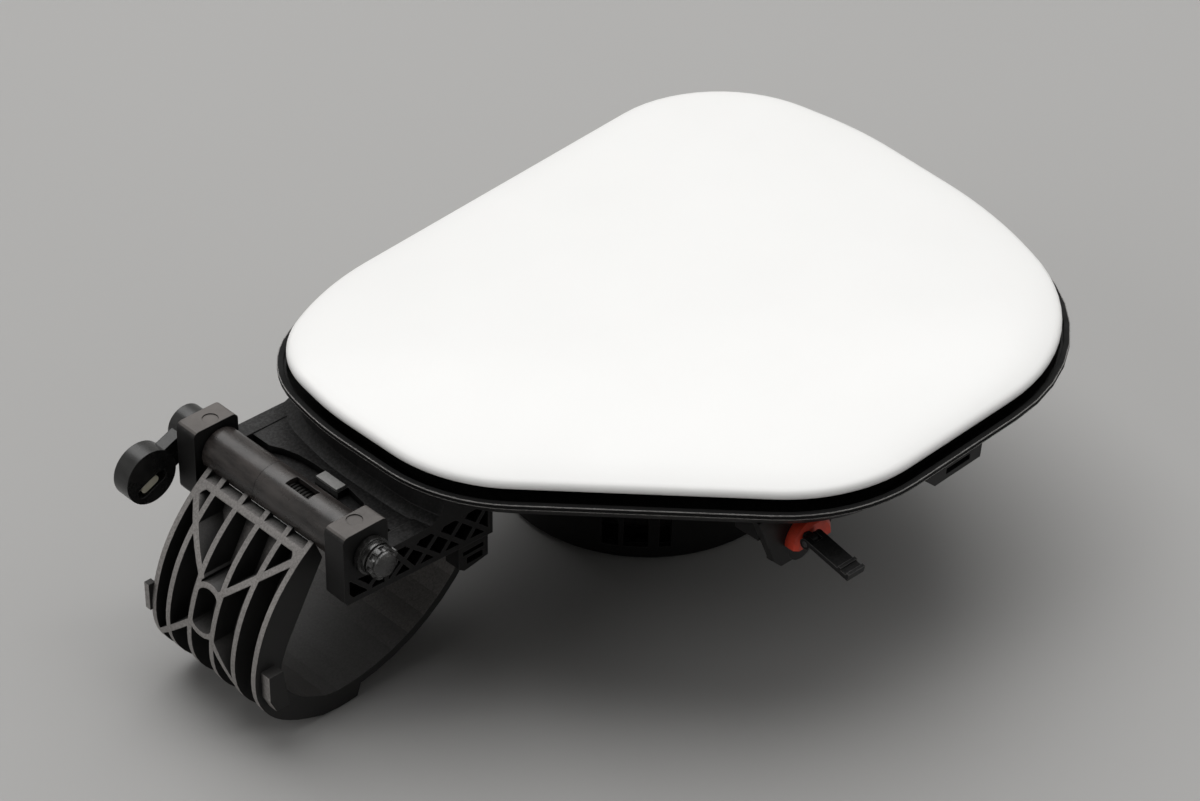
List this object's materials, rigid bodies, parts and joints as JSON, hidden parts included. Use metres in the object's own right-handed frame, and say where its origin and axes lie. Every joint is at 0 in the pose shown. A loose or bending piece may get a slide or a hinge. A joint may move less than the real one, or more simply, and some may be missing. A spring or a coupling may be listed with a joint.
{
  "type": "charging port door",
  "caption": "Painted vehicle charging port door on a ribbed gooseneck hinge, closed on a moulded housing with a round inlet pot and a pin lock.",
  "frame": {"origin": "centre of the charging inlet's bore, on the bottom face of the pot", "axes": "+Z out of the car body through the closed door, +X from the hinge towards the door's free edge, +Y along the hinge axis towards the drive lever"},
  "size_m": [0.275, 0.1949, 0.0876],
  "materials": {
    "moulded_black": "textured moulding",
    "arm_black": "satin, dust on the ribs",
    "seal_black": "matt",
    "skin_white": "gloss paint",
    "bush_cream": "satin",
    "pad_grey": "matt",
    "collar_red": "satin silicone",
    "bright_steel": "bright",
    "dark_steel": "oiled, phosphated"
  },
  "bodies": {
    "base": {"housing": "moulded_black", "rim_seal": "seal_black", "pocket_seal": "seal_black", "inlet_gasket": "seal_black", "near_bush": "bush_cream", "far_bush": "bush_cream", "stop_pad": "pad_grey", "hinge_side_clip": "moulded_black", "edge_clip": "moulded_black", "rubber_buffers": "seal_black", "latch_body": "moulded_black", "latch_collar": "collar_red", "latch_screws": "bright_steel", "tab_pivot": "bright_steel"},
    "door": {"gooseneck_arm": "arm_black", "barrel_sleeve": "arm_black", "torsion_spring": "bright_steel", "hinge_pin": "dark_steel", "pin_collar": "dark_steel", "pin_clip": "bright_steel", "hinge_lever": "arm_black", "lever_rod": "bush_cream", "dowel_pin": "bright_steel", "door_inner": "moulded_black", "door_skin": "skin_white", "arm_screws": "dark_steel", "striker": "dark_steel"},
    "lock": {"lock_pin": "bright_steel"},
    "tab": {"release_tab": "moulded_black"}
  },
  "joints": [
    {"name": "door_hinge", "type": "hinge", "parent": "base", "child": "door", "pos_m": [-0.145, 0, 0.066], "axis": [0, -1, 0], "range_deg": [0, 90]},
    {"name": "lock_slide", "type": "slide", "parent": "base", "child": "lock", "axis": [0, 1, 0], "range_m": [0, 0.007]},
    {"name": "tab_press", "type": "hinge", "parent": "base", "child": "tab", "pos_m": [-0.045, -0.1128, 0.0604], "axis": [1, 0, 0], "range_deg": [0, 14], "stiffness_Nm_per_rad": 0.02}
  ]
}
